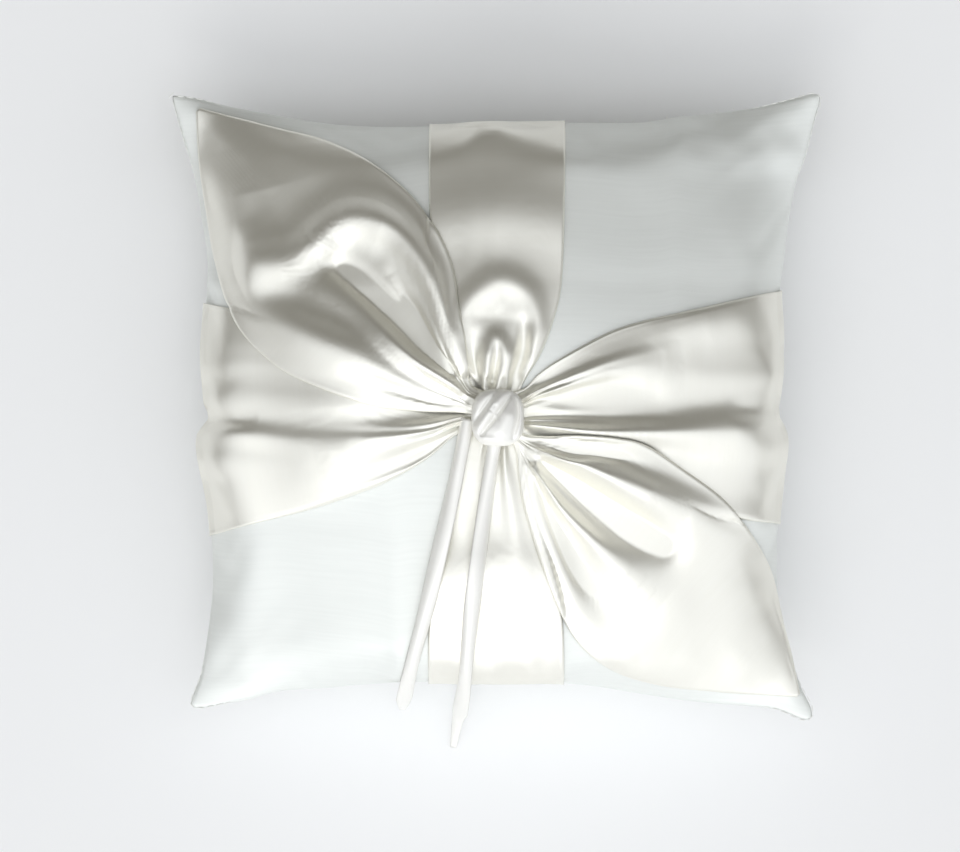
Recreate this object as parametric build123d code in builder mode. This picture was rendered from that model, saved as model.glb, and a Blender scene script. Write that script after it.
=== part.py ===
from build123d import *
import os
from math import radians, sqrt, tan

# Ring bearer pillow: a stuffed satin square, crossed by two satin bands that are gathered
# under a knot, with two wide corner drapes and two narrow ribbon tails that tie the rings.
# It lies on its back panel. X runs across it, Y from the tail side to the far side, Z up.
# The origin is on the resting face, under the middle of the seam's outline.

os.makedirs("parts", exist_ok=True)

# Driving dimensions, in millimetres
corner_half = (102.6, 99.6)  # from the middle to a seam corner, before it is rounded
side_half = (90.5, 88.0)  # from the middle to the middle of a side, pulled in by the stuffing
ear_radius = 3.0
seam_height = 31.0
crown_height = 66.0
belly_share = 0.90  # the lower dome ends in the flat that it rests on
crown_share = 0.985  # the upper dome ends in a small flat under the knot
dome_power = 0.6  # how round the domes are between the sides
cloth = 0.6  # satin with its backing
layer_step = 0.9  # from the face of one layer of cloth to the face of the next
seam_allowance = 7.0
thread_width = 0.4

knot_centre = (-1.0, -3.0)
knot_turn = 48.0  # degrees from X to the way that the knot's wrap runs
bunch_size = (15.0, 14.0, 5.6)  # the gathered middle of the sash, inside the wrap
bunch_bottom = crown_height + 4.6
neck_radius = 3.0
wrap_width = 10.5
wrap_gap = 0.2
wrap_opening = 8.0  # between the wrap's two ends, turned in under the bunch

ribbon_width = 6.0
ribbon_thickness = 0.5

# How wide each band is, as (distance from the knot, half its width)
band_widths = [(0.0, 7.0), (14.0, 11.5), (30.0, 16.0), (52.0, 19.8), (75.0, 21.2), (106.0, 21.3)]
sash_widths = [(0.0, 8.0), (14.0, 11.5), (29.0, 20.5), (57.0, 30.5), (88.0, 37.5), (106.0, 38.0)]

# The corner drapes' two edges, from the knot to the corner
left_drape_upper = [(-4.8, 4.5), (-11.0, 30.0), (-17.5, 52.6), (-29.4, 67.7), (-52.6, 81.7), (-87.0, 91.0)]
left_drape_lower = [(-4.8, -2.6), (-33.0, -2.4), (-57.0, 5.7), (-75.4, 17.6), (-87.1, 41.3), (-94.6, 84.0)]
right_drape_upper = [(7.0, -5.5), (37.4, -10.6), (58.5, -20.8), (76.5, -35.9), (88.6, -61.1), (96.7, -86.0)]
right_drape_lower = [(5.0, -9.5), (9.1, -34.7), (19.5, -64.4), (34.3, -82.2), (61.7, -89.7), (88.0, -92.3)]

# The tack thread's loops, as (first x, second x, y)
tack_loops = [(-5.8, 3.8, 0.0), (-4.4, 3.8, -6.5)]
tack_heights = (crown_height - 5.0, bunch_bottom + 3.0)

# The ring ribbon's tails: the plan points they run between, then (distance from the first, height)
left_tail_plan = [(-8.8, -5.0), (-29.5, -98.0)]
left_tail_route = [
    (0.0, 69.25),
    (12.0, 69.3),
    (22.0, 68.0),
    (36.0, 66.6),
    (49.0, 63.4),
    (61.0, 59.0),
    (72.5, 51.5),
    (82.0, 44.5),
    (89.5, 33.0),
    (92.6, 21.0),
    (94.6, 10.0),
]
right_tail_plan = [(0.3, -8.0), (-13.3, -109.8)]
right_tail_route = [
    (0.0, 69.25),
    (9.0, 69.3),
    (20.0, 67.8),
    (34.0, 66.2),
    (47.0, 62.6),
    (59.0, 57.2),
    (70.0, 49.5),
    (78.5, 42.5),
    (86.0, 31.5),
    (89.5, 18.5),
    (94.0, 5.5),
    (103.0, 0.9),
]


def finish(piece, name):
    """Labels a finished piece and writes its file."""
    piece.label = name
    export_step(piece, f"parts/{name}.step")


def outline(middles, corners, rounding, plane):
    """A square whose four sides bow through their middles, with rounded corners."""
    (mid_x, mid_y), (far_x, far_y) = middles, corners
    with BuildSketch(plane) as shape:
        with BuildLine():
            ThreePointArc((far_x, -far_y), (mid_x, 0), (far_x, far_y))
            ThreePointArc((far_x, far_y), (0, mid_y), (-far_x, far_y))
            ThreePointArc((-far_x, far_y), (-mid_x, 0), (-far_x, -far_y))
            ThreePointArc((-far_x, -far_y), (0, -mid_y), (far_x, -far_y))
        make_face()
        fillet(shape.vertices(), radius=rounding)
    return shape.sketch


def seam_outline(grow, height=seam_height):
    """The seam's outline, grown sideways."""
    return outline(
        [side + grow for side in side_half],
        [corner + grow for corner in corner_half],
        max(ear_radius + grow, 1.0),
        Plane.XY.offset(height),
    )


def seam_ring(outer, inner, low, high):
    """A flat ring that follows the seam, between two growths and two heights."""
    with BuildPart() as ring:
        with BuildSketch(Plane.XY.offset(low)):
            add(seam_outline(outer, 0))
            add(seam_outline(inner, 0), mode=Mode.SUBTRACT)
        extrude(amount=high - low)
    return ring.part


def dome(grow, up):
    """Half of the stuffed form, from the seam to its flat, grown outwards. up is 1 or -1."""
    flat_share = crown_share if up > 0 else belly_share
    rise = (crown_height - seam_height if up > 0 else seam_height) + grow
    shares = [share for share in (0.10, 0.28, 0.52, 0.76, 0.91) if share < flat_share]
    with BuildPart() as half:
        add(seam_outline(grow))
        for share in [*shares, flat_share]:
            drop = share ** (1 / dome_power)
            middle, corner = sqrt(1 - drop), sqrt(1 - sqrt(drop))
            rounding = 4 + 26 * share if share < 0.7 else 0.45 * side_half[0] * middle
            section = outline(
                [side * middle + grow for side in side_half],
                [far * corner + grow + 0.29 * rounding for far in corner_half],
                rounding,
                Plane.XY.offset(seam_height + up * rise * share / flat_share),
            )
            add(section)
        loft()
    return half.part


def cloth_layer(steps, plan):
    """Cloth that lies on the front panel, this many steps out, cut to a plan outline."""
    face = steps * layer_step
    with BuildPart() as layer:
        add(dome(face, 1))
        add(dome(face - cloth, 1), mode=Mode.SUBTRACT)
        add(plan)
        extrude(amount=2 * crown_height, mode=Mode.INTERSECT)
    return layer.part


def gathered_band(widths, turn):
    """The plan of a band that is narrow at the knot and widens both ways to the seams."""
    ahead = [(distance, half) for distance, half in widths[1:]]
    behind = [(-distance, half) for distance, half in reversed(ahead)]
    edge = [*behind, widths[0], *ahead]
    with BuildSketch() as plan:
        with BuildLine(Plane.XY.shift_origin((*knot_centre, 0)).rotated((0, 0, turn))):
            Spline(*edge)
            Spline(*[(distance, -half) for distance, half in edge])
            Line(edge[0], (edge[0][0], -edge[0][1]))
            Line(edge[-1], (edge[-1][0], -edge[-1][1]))
        make_face()
    return plan.sketch


def drape_plan(upper, lower):
    """The plan of a corner drape, between its two edges."""
    with BuildSketch() as plan:
        with BuildLine():
            Spline(*upper)
            Spline(*lower)
            Line(upper[0], lower[0])
            Line(upper[-1], lower[-1])
        make_face()
    return plan.sketch


def thread_loops(width):
    """The two stitches that hold the knot down through all the layers."""
    low, high = tack_heights
    with BuildPart() as loops:
        for first, second, place in tack_loops:
            with BuildSketch(Plane.XZ.offset(-place)):
                with Locations(((first + second) / 2, (low + high) / 2)):
                    Rectangle(second - first + width, high - low + width)
                    Rectangle(second - first - width, high - low - width, mode=Mode.SUBTRACT)
            extrude(amount=width / 2, both=True)
    return loops.part


def tail(plan, route, name):
    """A ribbon tail: straight runs joined by tangent arcs, in one upright plane."""
    (root_x, root_y), (tip_x, tip_y) = plan
    along = Vector(tip_x - root_x, tip_y - root_y).normalized()
    upright = Plane(origin=(root_x, root_y, 0), x_dir=along, z_dir=along.cross(Vector(0, 0, 1)))
    points = [upright.from_local_coords((distance, height)) for distance, height in route]
    runs = [after - before for before, after in zip(points, points[1:])]
    radii = []
    for before, after in zip(runs, runs[1:]):
        shorter = min(before.length, after.length)
        radii.append(0.45 * shorter / tan(radians(before.get_angle(after)) / 2))
    with BuildPart() as ribbon:
        with BuildLine() as path:
            FilletPolyline(*points, radius=radii)
        with BuildSketch(Plane(origin=points[0], x_dir=upright.z_dir, z_dir=runs[0])):
            Rectangle(ribbon_width, ribbon_thickness)
        sweep()
    length = path.wires()[0].length
    section = ribbon_width * ribbon_thickness
    print(name, "length", round(length, 1), "runs", [round(run.length, 1) for run in runs])
    print(name, "radii", [round(radius, 1) for radius in radii])
    print(name, "volume over section times length", round(ribbon.part.volume / section / length, 4))
    finish(ribbon.part, name)


needle_ways = thread_loops(2 * thread_width)
seam_thread_way = seam_ring(-1.4, -1.4 - thread_width, seam_height - 0.2, seam_height + 0.2)

# The stuffing, with room for the seam allowances that are turned in
with BuildPart() as filling:
    add(dome(-cloth - 0.2, 1))
    add(dome(-cloth - 0.2, -1))
    allowance_room = seam_ring(0, -cloth - seam_allowance - 0.3, seam_height - 0.8, seam_height + 0.8)
    add(allowance_room, mode=Mode.SUBTRACT)
    add(needle_ways, mode=Mode.SUBTRACT)
finish(filling.part, "filling")

# Two cut panels, sewn right sides together and turned, so that the allowance is inside
for name, up in (("front_panel", 1), ("back_panel", -1)):
    low = seam_height if up > 0 else seam_height - cloth
    with BuildPart() as panel:
        add(dome(0, up))
        add(dome(-cloth, up), mode=Mode.SUBTRACT)
        add(seam_ring(-cloth / 2, -cloth - seam_allowance, low, low + cloth))
        add(seam_thread_way, mode=Mode.SUBTRACT)
        add(needle_ways, mode=Mode.SUBTRACT)
    finish(panel.part, name)

with BuildPart() as seam_thread:
    add(seam_thread_way)
finish(seam_thread.part, "seam_thread")

# The hand stitches that close the gap that the stuffing went in through
closing_count = 9
closing_span = (0.15, 0.36)  # as shares of the far side, from its +X corner
closing_height = 2.4
with BuildPart() as closing_thread:
    with BuildLine(mode=Mode.PRIVATE) as far_side:
        far_x, far_y = [corner + 0.3 for corner in corner_half]
        ThreePointArc((far_x, far_y), (0, side_half[1] + 0.3), (-far_x, far_y))
    for number in range(closing_count):
        share = closing_span[0] + (closing_span[1] - closing_span[0]) * number / (closing_count - 1)
        place, heading = far_side.line @ share, far_side.line % share
        with Locations(Plane(origin=(place.X, place.Y, seam_height), x_dir=heading, z_dir=(0, 0, 1))):
            Box(thread_width, thread_width, closing_height)
finish(closing_thread.part, "closing_thread")

# The upright band, then the sash across it, then a drape at each of two corners
with BuildPart() as vertical_band:
    add(cloth_layer(1, gathered_band(band_widths, 90)))
    add(needle_ways, mode=Mode.SUBTRACT)
finish(vertical_band.part, "vertical_band")

knot_plane = Plane(
    origin=(*knot_centre, bunch_bottom + bunch_size[2] / 2),
    x_dir=Vector(1, 0).rotate(Axis.Z, knot_turn),
    z_dir=(0, 0, 1),
)
# Seen along the wrap's width, so that a sketch has the way it runs and its height
knot_side = Plane(origin=knot_plane.origin, x_dir=knot_plane.x_dir, z_dir=-knot_plane.y_dir)

with BuildPart() as side_sash:
    add(cloth_layer(2, gathered_band(sash_widths, 0)))
    with BuildSketch(Plane.XY.offset(crown_height + 2 * layer_step - cloth)):
        with Locations(knot_centre):
            Circle(neck_radius)
    extrude(amount=bunch_bottom + 1 - crown_height - 2 * layer_step + cloth)
    with BuildSketch(knot_side):
        RectangleRounded(bunch_size[0], bunch_size[2], 2.6)
    extrude(amount=bunch_size[1] / 2, both=True)
    add(needle_ways, mode=Mode.SUBTRACT)
finish(side_sash.part, "side_sash")

for name, upper, lower in (
    ("corner_drape_left", left_drape_upper, left_drape_lower),
    ("corner_drape_right", right_drape_upper, right_drape_lower),
):
    with BuildPart() as drape:
        add(cloth_layer(3, drape_plan(upper, lower)))
        add(needle_ways, mode=Mode.SUBTRACT)
    finish(drape.part, name)

# A strip folded round the bunch, its two ends turned in underneath
with BuildPart() as knot_wrap:
    inner = [size + 2 * wrap_gap for size in (bunch_size[0], bunch_size[2])]
    with BuildSketch(knot_side):
        RectangleRounded(inner[0] + 2 * cloth, inner[1] + 2 * cloth, 2.6 + wrap_gap + cloth)
        RectangleRounded(*inner, 2.6 + wrap_gap, mode=Mode.SUBTRACT)
        with Locations((0, -inner[1] / 2)):
            Rectangle(wrap_opening, 3 * cloth, mode=Mode.SUBTRACT)
    extrude(amount=wrap_width / 2, both=True)
    add(needle_ways, mode=Mode.SUBTRACT)
finish(knot_wrap.part, "knot_wrap")

with BuildPart() as tack_thread:
    add(thread_loops(thread_width))
finish(tack_thread.part, "tack_thread")

tail(left_tail_plan, left_tail_route, "ring_ribbon_left")
tail(right_tail_plan, right_tail_route, "ring_ribbon_right")
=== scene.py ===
import math

import bpy
import numpy as np
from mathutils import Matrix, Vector, noise
from mathutils.bvhtree import BVHTree


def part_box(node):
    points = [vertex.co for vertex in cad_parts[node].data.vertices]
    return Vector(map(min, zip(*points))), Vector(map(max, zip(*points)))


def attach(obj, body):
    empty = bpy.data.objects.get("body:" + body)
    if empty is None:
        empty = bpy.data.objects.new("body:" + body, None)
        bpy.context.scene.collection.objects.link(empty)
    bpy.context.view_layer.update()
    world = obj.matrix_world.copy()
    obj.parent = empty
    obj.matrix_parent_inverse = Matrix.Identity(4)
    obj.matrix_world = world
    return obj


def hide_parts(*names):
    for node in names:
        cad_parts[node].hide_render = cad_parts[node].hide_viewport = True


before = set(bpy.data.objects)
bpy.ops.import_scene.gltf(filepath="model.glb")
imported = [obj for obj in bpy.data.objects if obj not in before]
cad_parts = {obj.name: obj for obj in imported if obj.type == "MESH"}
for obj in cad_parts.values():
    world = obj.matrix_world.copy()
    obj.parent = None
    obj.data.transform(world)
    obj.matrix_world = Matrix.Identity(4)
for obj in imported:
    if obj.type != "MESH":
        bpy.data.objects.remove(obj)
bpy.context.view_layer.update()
mm = 0.001
scene = bpy.context.scene
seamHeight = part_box("back_panel")[1][2] / mm
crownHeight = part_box("front_panel")[1][2] / mm


# Small tools for lines, heights and meshes; plan sizes are in millimetres

def runAlong(points):
    # the distance along a line at each of its points
    return np.concatenate([[0], np.cumsum(np.linalg.norm(np.diff(points, axis=0), axis=1))])


def eased(share):
    # from 0 to 1 with a soft start and end
    share = np.clip(share, 0, 1)
    return share * share * (3 - 2 * share)


def smoothLine(points, count):
    # a Catmull-Rom line through the points, then even steps along it
    p = np.array(points, float)
    p = np.vstack([2 * p[0] - p[1], p, 2 * p[-1] - p[-2]])
    t = np.linspace(0, 1, 24, endpoint=False)[:, None]
    parts = []
    for a, b, c, d in zip(p, p[1:], p[2:], p[3:]):
        parts.append(0.5 * (2 * b + (c - a) * t + (2 * a - 5 * b + 4 * c - d) * t**2
                            + (3 * b - a - 3 * c + d) * t**3))
    line = np.vstack(parts + [p[-2][None]])
    run = runAlong(line)
    even = np.linspace(0, run[-1], count)
    return np.stack([np.interp(even, run, line[:, k]) for k in range(line.shape[1])], axis=1)


def foldHeights(x, y, folds):
    # the sum of soft ridges (rise above 0) and grooves (below 0) that follow lines in plan
    total = np.zeros_like(x)
    flat = np.stack([x.ravel(), y.ravel()], axis=1)
    along = np.linspace(0, 1, 60)
    for fold in folds:
        line = smoothLine(fold["line"], len(along))
        share = np.linspace(0, 1, len(fold["line"]))
        rise = np.interp(along, share, fold["rise"])
        spread = np.interp(along, share, fold["spread"])
        gaps = np.linalg.norm(flat[:, None] - line[None], axis=2)
        near = gaps.argmin(axis=1)
        gap = gaps[np.arange(len(flat)), near]
        total += (rise[near] * np.exp(-((gap / spread[near]) ** 2))).reshape(x.shape)
    return total


def meshOf(name, vertices, faces, material, uv=None, smooth=True):
    mesh = bpy.data.meshes.new(name)
    mesh.from_pydata([tuple(float(c) for c in v) for v in vertices], [], faces)
    mesh.update()
    if uv is not None:
        layer = mesh.uv_layers.new(name="cloth")
        loops = np.zeros(len(mesh.loops), int)
        mesh.loops.foreach_get("vertex_index", loops)
        layer.data.foreach_set("uv", np.asarray(uv, float)[loops].ravel())
    if smooth:
        mesh.polygons.foreach_set("use_smooth", [True] * len(mesh.polygons))
    piece = bpy.data.objects.new(name, mesh)
    bpy.context.collection.objects.link(piece)
    piece.data.materials.append(material)
    return piece


def applied(piece):
    # replaces the mesh by what its modifiers make of it
    depsgraph = bpy.context.evaluated_depsgraph_get()
    mesh = bpy.data.meshes.new_from_object(piece.evaluated_get(depsgraph))
    piece.modifiers.clear()
    old, piece.data = piece.data, mesh
    bpy.data.meshes.remove(old)
    return piece


def faceUp(piece, number):
    if piece.data.polygons[number].normal.z < 0:
        piece.data.flip_normals()


def gridFaces(rows, cols, wrap=False):
    faces = []
    for i in range(rows - 1):
        for j in range(cols if wrap else cols - 1):
            k = (j + 1) % cols
            faces.append((i * cols + j, i * cols + k, (i + 1) * cols + k, (i + 1) * cols + j))
    return faces


# Stage: camera overhead, a soft key from the tail side, a pale floor

studio = {
    "cameraHeight": 2.00, "lens": 234, "aim": (-0.0050, -0.0072),
    "key": {"place": (-0.30, -1.40, 1.30), "size": 1.1, "power": 7.0, "colour": (1.0, 0.99, 0.97)},
    "top": {"place": (0.10, -0.30, 2.20), "size": 1.2, "power": 4.0, "colour": (0.96, 0.98, 1.0)},
    "lampTarget": (0, 0, 0.04),
    # the sky is bright overhead and towards the tails, dark and warm beyond the pillow and near the horizon
    "skyNear": (0.96, 0.985, 1.02), "skyFar": (0.075, 0.064, 0.036), "skyTurn": (0.10, 0.70),
    "skyLean": (-0.10, 0.98), "horizon": 1.1,
    "floorSize": 3.0, "floorDrop": 0.0002, "floorShade": 0.95, "floorRoughness": 0.8,
}


def softbox(name):
    lamp = studio[name]
    light = bpy.data.lights.new(name, "AREA")
    light.shape = "SQUARE"
    light.size = lamp["size"]
    light.energy = lamp["power"]
    light.color = lamp["colour"]
    piece = bpy.data.objects.new(name, light)
    piece.location = lamp["place"]
    toTarget = Vector(studio["lampTarget"]) - piece.location
    piece.rotation_euler = toTarget.to_track_quat("-Z", "Y").to_euler()
    bpy.context.collection.objects.link(piece)


def buildSky():
    world = bpy.data.worlds.new("sky")
    world.use_nodes = True
    nodes, links = world.node_tree.nodes, world.node_tree.links
    heading = nodes.new("ShaderNodeTexCoord")
    lean = nodes.new("ShaderNodeVectorMath")
    lean.operation = "DOT_PRODUCT"
    lean.inputs[1].default_value = (*studio["skyLean"], 0)
    links.new(heading.outputs["Generated"], lean.inputs[0])
    # the square of how far a direction is from straight up darkens the sky near the horizon
    parts = nodes.new("ShaderNodeSeparateXYZ")
    links.new(heading.outputs["Generated"], parts.inputs["Vector"])
    low = nodes.new("ShaderNodeMath")
    low.operation = "SUBTRACT"
    low.inputs[0].default_value = 1.0
    links.new(parts.outputs["Z"], low.inputs[1])
    square = nodes.new("ShaderNodeMath")
    square.operation = "MULTIPLY"
    links.new(low.outputs[0], square.inputs[0])
    links.new(low.outputs[0], square.inputs[1])
    total = nodes.new("ShaderNodeMath")
    total.operation = "MULTIPLY_ADD"
    total.inputs[1].default_value = studio["horizon"]
    links.new(square.outputs[0], total.inputs[0])
    links.new(lean.outputs["Value"], total.inputs[2])
    spread = nodes.new("ShaderNodeMapRange")
    spread.interpolation_type = "SMOOTHSTEP"
    spread.inputs["From Min"].default_value, spread.inputs["From Max"].default_value = studio["skyTurn"]
    links.new(total.outputs[0], spread.inputs["Value"])
    tone = nodes.new("ShaderNodeMix")
    tone.data_type = "RGBA"
    tone.inputs["A"].default_value = (*studio["skyNear"], 1)
    tone.inputs["B"].default_value = (*studio["skyFar"], 1)
    links.new(spread.outputs["Result"], tone.inputs["Factor"])
    links.new(tone.outputs["Result"], nodes["Background"].inputs["Color"])
    scene.world = world


def buildStage():
    camera = bpy.data.objects.new("camera", bpy.data.cameras.new("camera"))
    camera.location = (*studio["aim"], studio["cameraHeight"])
    camera.data.lens = studio["lens"]
    bpy.context.collection.objects.link(camera)
    scene.camera = camera
    scene.view_settings.view_transform = "Standard"
    softbox("key")
    softbox("top")
    buildSky()
    floorPaint = bpy.data.materials.new("floorPaint")
    floorPaint.use_nodes = True
    shader = floorPaint.node_tree.nodes["Principled BSDF"]
    shader.inputs["Base Color"].default_value = (*[studio["floorShade"]] * 3, 1)
    shader.inputs["Roughness"].default_value = studio["floorRoughness"]
    h, z = studio["floorSize"] / 2, -studio["floorDrop"]
    corners = [(-h, -h, z), (h, -h, z), (h, h, z), (-h, h, z)]
    floor = meshOf("floor", corners, [(0, 1, 2, 3)], floorPaint, smooth=False)


buildStage()
print("stage: camera, two softboxes, floor")


# Materials

def weaveGroup():
    # satin's fine threads and long slubs: a height and a slow change of shade, in cloth millimetres
    group = bpy.data.node_groups.new("weave", "ShaderNodeTree")
    for name, kind, value in (("Threads", "NodeSocketFloat", 2.2), ("Slub", "NodeSocketFloat", 0.4),
                              ("Shade", "NodeSocketFloat", 0.04)):
        group.interface.new_socket(name, in_out="INPUT", socket_type=kind).default_value = value
    group.interface.new_socket("Height", in_out="OUTPUT", socket_type="NodeSocketFloat")
    group.interface.new_socket("Tint", in_out="OUTPUT", socket_type="NodeSocketFloat")
    nodes, links = group.nodes, group.links
    entry, leave = nodes.new("NodeGroupInput"), nodes.new("NodeGroupOutput")
    place = nodes.new("ShaderNodeUVMap")
    place.uv_map = "cloth"
    warp, weft = nodes.new("ShaderNodeTexWave"), nodes.new("ShaderNodeTexWave")
    warp.bands_direction, weft.bands_direction = "X", "Y"
    for wave in (warp, weft):
        wave.inputs["Distortion"].default_value = 1.5
        wave.inputs["Detail"].default_value = 1.0
        links.new(place.outputs["UV"], wave.inputs["Vector"])
        links.new(entry.outputs["Threads"], wave.inputs["Scale"])
    stretch = nodes.new("ShaderNodeMapping")
    stretch.inputs["Scale"].default_value = (0.03, 0.9, 1.0)
    links.new(place.outputs["UV"], stretch.inputs["Vector"])
    slub = nodes.new("ShaderNodeTexNoise")
    slub.inputs["Scale"].default_value = 1.0
    slub.inputs["Detail"].default_value = 5.0
    links.new(stretch.outputs["Vector"], slub.inputs["Vector"])
    mixed = nodes.new("ShaderNodeMath")
    mixed.operation = "MULTIPLY"
    links.new(warp.outputs["Fac"], mixed.inputs[0])
    links.new(weft.outputs["Fac"], mixed.inputs[1])
    slubHeight = nodes.new("ShaderNodeMath")
    slubHeight.operation = "MULTIPLY_ADD"
    links.new(slub.outputs["Fac"], slubHeight.inputs[0])
    links.new(entry.outputs["Slub"], slubHeight.inputs[1])
    links.new(mixed.outputs[0], slubHeight.inputs[2])
    links.new(slubHeight.outputs[0], leave.inputs["Height"])
    tint = nodes.new("ShaderNodeMath")
    tint.operation = "MULTIPLY_ADD"
    links.new(slub.outputs["Fac"], tint.inputs[0])
    links.new(entry.outputs["Shade"], tint.inputs[1])
    tint.inputs[2].default_value = 0.5
    links.new(tint.outputs[0], leave.inputs["Tint"])
    return group


weave = weaveGroup()


finishes = {
    "panelSatin": {
        "deep": (0.76, 0.78, 0.75), "pale": (0.90, 0.92, 0.89), "roughness": 0.48, "specular": 0.35,
        "gloss": 0.38, "threads": 1.6, "slub": 1.6, "shade": 0.5, "bump": 0.25, "sheen": 0.05,
    },
    "bandSatin": {
        "deep": (0.88, 0.86, 0.77), "pale": (0.95, 0.94, 0.88), "roughness": 0.42, "specular": 0.50,
        "gloss": 0.74, "threads": 2.2, "slub": 0.4, "shade": 0.35, "bump": 0.12, "sheen": 0.0,
    },
    "ribbonSatin": {
        "deep": (0.90, 0.89, 0.83), "pale": (0.96, 0.95, 0.92), "roughness": 0.42, "specular": 0.50,
        "gloss": 0.25, "threads": 2.2, "slub": 0.3, "shade": 0.3, "bump": 0.12, "sheen": 0.0,
    },
    "threadCotton": {
        "deep": (0.84, 0.84, 0.80), "pale": (0.92, 0.92, 0.90), "roughness": 0.6, "specular": 0.3,
        "gloss": 0.0, "threads": 6.0, "slub": 0.5, "shade": 0.3, "bump": 0.5, "sheen": 0.2,
    },
}
threadHeight = 0.00008


def wovenMaterial(name):
    finish = finishes[name]
    material = bpy.data.materials.new(name)
    material.use_nodes = True
    nodes, links = material.node_tree.nodes, material.node_tree.links
    shader = nodes["Principled BSDF"]
    shader.inputs["Roughness"].default_value = finish["roughness"]
    shader.inputs["Metallic"].default_value = finish["gloss"]
    shader.inputs["Specular IOR Level"].default_value = finish["specular"]
    shader.inputs["Sheen Weight"].default_value = finish["sheen"]
    shader.inputs["Sheen Roughness"].default_value = 0.4
    cloth = nodes.new("ShaderNodeGroup")
    cloth.node_tree = weave
    cloth.inputs["Threads"].default_value = finish["threads"]
    cloth.inputs["Slub"].default_value = finish["slub"]
    cloth.inputs["Shade"].default_value = finish["shade"]
    ramp = nodes.new("ShaderNodeMix")
    ramp.data_type = "RGBA"
    ramp.inputs["A"].default_value = (*finish["deep"], 1)
    ramp.inputs["B"].default_value = (*finish["pale"], 1)
    links.new(cloth.outputs["Tint"], ramp.inputs["Factor"])
    links.new(ramp.outputs["Result"], shader.inputs["Base Color"])
    relief = nodes.new("ShaderNodeBump")
    relief.inputs["Strength"].default_value = finish["bump"]
    relief.inputs["Distance"].default_value = threadHeight
    links.new(cloth.outputs["Height"], relief.inputs["Height"])
    links.new(relief.outputs["Normal"], shader.inputs["Normal"])
    return material


panelSatin = wovenMaterial("panelSatin")
bandSatin = wovenMaterial("bandSatin")
ribbonSatin = wovenMaterial("ribbonSatin")
threadCotton = wovenMaterial("threadCotton")
print("materials: panel, band and ribbon satin, thread")


# The stuffed case: two squares joined round their edge, blown up by cloth pressure

knotMiddle = (0.5, -4.0)
pillow = {
    "cells": 64, "flat": (0.224, 0.218), "start": 0.02,
    "frames": 10, "pressure": 14.0, "stretch": 60.0, "bend": 0.6, "mass": 0.12,
    "bellyDrop": 5.0, "crownDip": 2.5, "crownDipWidth": 17.0, "restEdge": 1.2, "rimClear": 0.35,
    "pucker": 1.6, "puckerLength": 7.0, "puckerStart": 1.5,
    "puckerScale": 0.12, "puckerTop": 3.7, "puckerUnder": 9.1,
    "quickHeight": 0.03, "quickFullness": 0.45, "quickPinch": (0.09, 0.10),
    # the seam in plan, side by side, each from its near or left corner
    "left": [(-97.6, -96.0), (-96.0, -91), (-93.6, -85), (-91, -70), (-89.5, -54), (-90.6, -34),
             (-93.2, -20), (-94.2, -11), (-91.6, -7), (-89.4, -3.8), (-91.6, 0), (-92.7, 16), (-92, 30),
             (-91, 43), (-93, 57), (-95.6, 71), (-99.6, 84), (-103.6, 98.2)],
    "right": [(100.4, -100.4), (101.0, -98.6), (100.3, -95.6), (97.0, -89.5), (94.8, -83), (92.6, -74),
              (89.6, -63), (89.0, -42), (90.4, -27), (91.8, -12.5), (90.6, -7.5), (88.2, -3.2),
              (89.4, 1), (90.6, 20), (89.9, 35), (91, 43), (92.8, 57), (95.4, 70), (98.6, 78),
              (101.6, 90), (103.4, 95), (103.2, 98.0)],
    "near": [(-97.6, -96.0), (-96.4, -97.2), (-92, -96.9), (-84, -95.2), (-78, -94.2), (-69, -91.4),
             (-54, -90.2), (-37, -88.6), (-21, -88.1), (4, -88.2), (20, -88.2), (45, -92), (61, -94.4),
             (78, -96.0), (88.5, -97.3), (95.3, -100.2), (98.4, -101.2), (100.4, -100.4)],
    "far": [(-103.6, 98.2), (-94.5, 97), (-86, 94.6), (-70, 91.4), (-54, 88.6), (-37, 87.6),
            (-21, 87.6), (4, 88.4), (28, 88.8), (45, 88.8), (61, 91), (78, 93.2), (94, 97),
            (100.4, 98.9), (103.2, 98.0)],
    "earReach": 58.0, "earFlat": 0.55, "slump": 1.45,
}


def buildCase():
    cells = pillow["cells"]
    steps = np.linspace(-1, 1, cells + 1)
    index, vertices, faces, uv = {}, [], [], []

    def corner(i, j, side):
        edge = i in (0, cells) or j in (0, cells)
        key = (i, j, 0 if edge else side)
        if key not in index:
            index[key] = len(vertices)
            dome = pillow["start"] * (1 - steps[i] ** 2) * (1 - steps[j] ** 2)
            x, y = steps[i] * pillow["flat"][0] / 2, steps[j] * pillow["flat"][1] / 2
            vertices.append((x, y, side * dome if not edge else 0))
            uv.append((x / mm, y / mm))
        return index[key]

    for side in (1, -1):
        for i in range(cells):
            for j in range(cells):
                face = [corner(i, j, side), corner(i + 1, j, side),
                        corner(i + 1, j + 1, side), corner(i, j + 1, side)]
                faces.append(face if side > 0 else face[::-1])
    case = meshOf("pillow_case", vertices, faces, panelSatin, uv)
    cloth = np.array([(key[0], key[1]) for key in index], float) / cells * 2 - 1
    rim = [number for key, number in index.items() if key[2] == 0]
    return case, cloth, rim


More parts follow.
